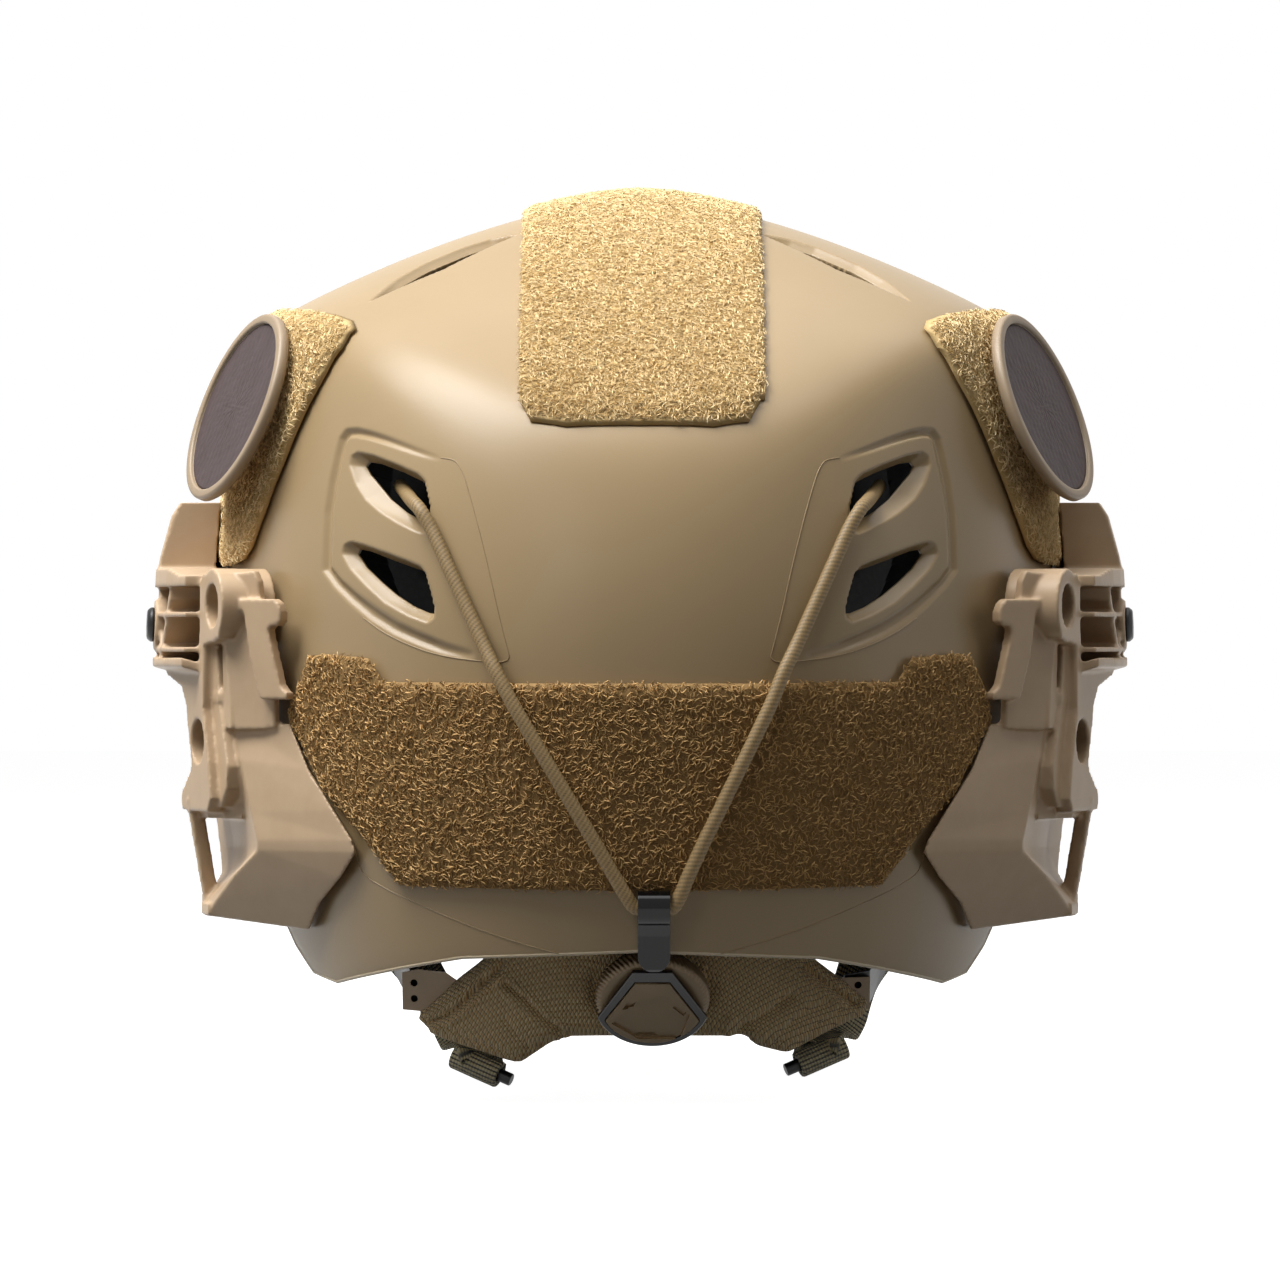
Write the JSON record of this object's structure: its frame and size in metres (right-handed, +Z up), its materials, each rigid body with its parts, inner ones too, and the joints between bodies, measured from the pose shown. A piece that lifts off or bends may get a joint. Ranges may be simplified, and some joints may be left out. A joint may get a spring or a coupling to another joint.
{
  "type": "combat helmet",
  "caption": "Vented combat bump helmet with loop patches, truss side rails, a hooked shock cord, and a dial-adjusted nape pad inside strap webbing.",
  "frame": {"origin": "middle of the wearer's head at ear height", "axes": "+Y towards the wearer's front, +X towards the wearer's right, +Z up"},
  "size_m": [0.2524, 0.2834, 0.2276],
  "materials": {
    "shell_plastic": "fine matt tan paint on moulded polymer",
    "liner_foam": "black bead foam",
    "pad_fabric": "black knit over soft foam",
    "loop_fabric": "sand coloured loop pile",
    "dark_loop_fabric": "coyote loop pile",
    "patch_rubber": "soft moulded rubber",
    "rail_plastic": "moulded tan nylon",
    "black_steel": "black oxide steel",
    "cord_fabric": "braided tan elastic cord",
    "gloss_black": "glossy black plastic",
    "nape_fabric": "coarse brown woven cloth",
    "black_plastic": "black nylon",
    "dial_plastic": "satin tan plastic",
    "webbing": "ribbed olive tan webbing",
    "cup_rubber": "soft black rubber"
  },
  "bodies": {
    "helmet": {"shell": "shell_plastic", "impact_liner": "liner_foam", "crown_pad": "pad_fabric", "front_pad": "pad_fabric", "side_pad_left": "pad_fabric", "side_pad_right": "pad_fabric", "rear_pad": "pad_fabric", "top_loop_patch": "loop_fabric", "rear_loop_patch": "dark_loop_fabric", "side_loop_patch_left": "loop_fabric", "side_loop_patch_right": "loop_fabric", "round_patch_left": "patch_rubber", "round_patch_right": "patch_rubber", "rail_left": "rail_plastic", "rail_right": "rail_plastic", "rail_bolts_left": "black_steel", "rail_bolts_right": "black_steel", "front_shroud": "rail_plastic", "shroud_screws": "black_steel", "shock_cord": "cord_fabric", "arm_guides": "black_plastic", "strap_slider_left": "black_plastic", "strap_slider_right": "black_plastic", "front_strap_left": "webbing", "front_strap_right": "webbing", "strap_anchors": "black_plastic", "chin_strap_left": "webbing", "chin_strap_right": "webbing", "chin_cup": "cup_rubber", "buckle_socket": "black_plastic"},
    "fit_carrier": {"fit_cradle": "rail_plastic", "nape_pad": "nape_fabric", "fit_arm_left": "black_plastic", "fit_arm_right": "black_plastic", "dial_base": "black_plastic", "rear_strap_left": "webbing", "rear_strap_right": "webbing", "strap_pins": "black_plastic"},
    "dial_spool": {"dial_spool": "black_plastic"},
    "dial_knob": {"dial_collar": "dial_plastic", "dial_frame": "gloss_black", "dial_cap": "dial_plastic"},
    "cord_hook": {"cord_hook": "gloss_black"},
    "buckle_plug": {"buckle_plug": "black_plastic"}
  },
  "joints": [
    {"name": "dial_turn", "type": "hinge", "parent": "fit_carrier", "child": "dial_spool", "pos_m": [0.003, -0.1164, -0.0516], "axis": [0, -0.7431, -0.6691], "range_deg": [0, 540]},
    {"name": "fit_slide", "type": "slide", "parent": "helmet", "child": "fit_carrier", "axis": [0, 1, 0], "range_m": [0, 0.008]},
    {"name": "dial_pull", "type": "slide", "parent": "dial_spool", "child": "dial_knob", "axis": [0, -0.7431, -0.6691], "range_m": [0, 0.0025]},
    {"name": "hook_pull", "type": "slide", "parent": "helmet", "child": "cord_hook", "axis": [0, 0, -1], "range_m": [0, 0.006], "stiffness_N_per_m": 300, "springref_m": -0.01, "deforming": ["shock_cord"]},
    {"name": "buckle_pull", "type": "slide", "parent": "helmet", "child": "buckle_plug", "axis": [0.6561, 0.7547, 0], "range_m": [0, 0.014], "deforming": ["chin_strap_right"]}
  ],
  "couplings": [
    {"joint": "dial_turn", "follows": "fit_slide", "rad_per_m": 1178}
  ]
}
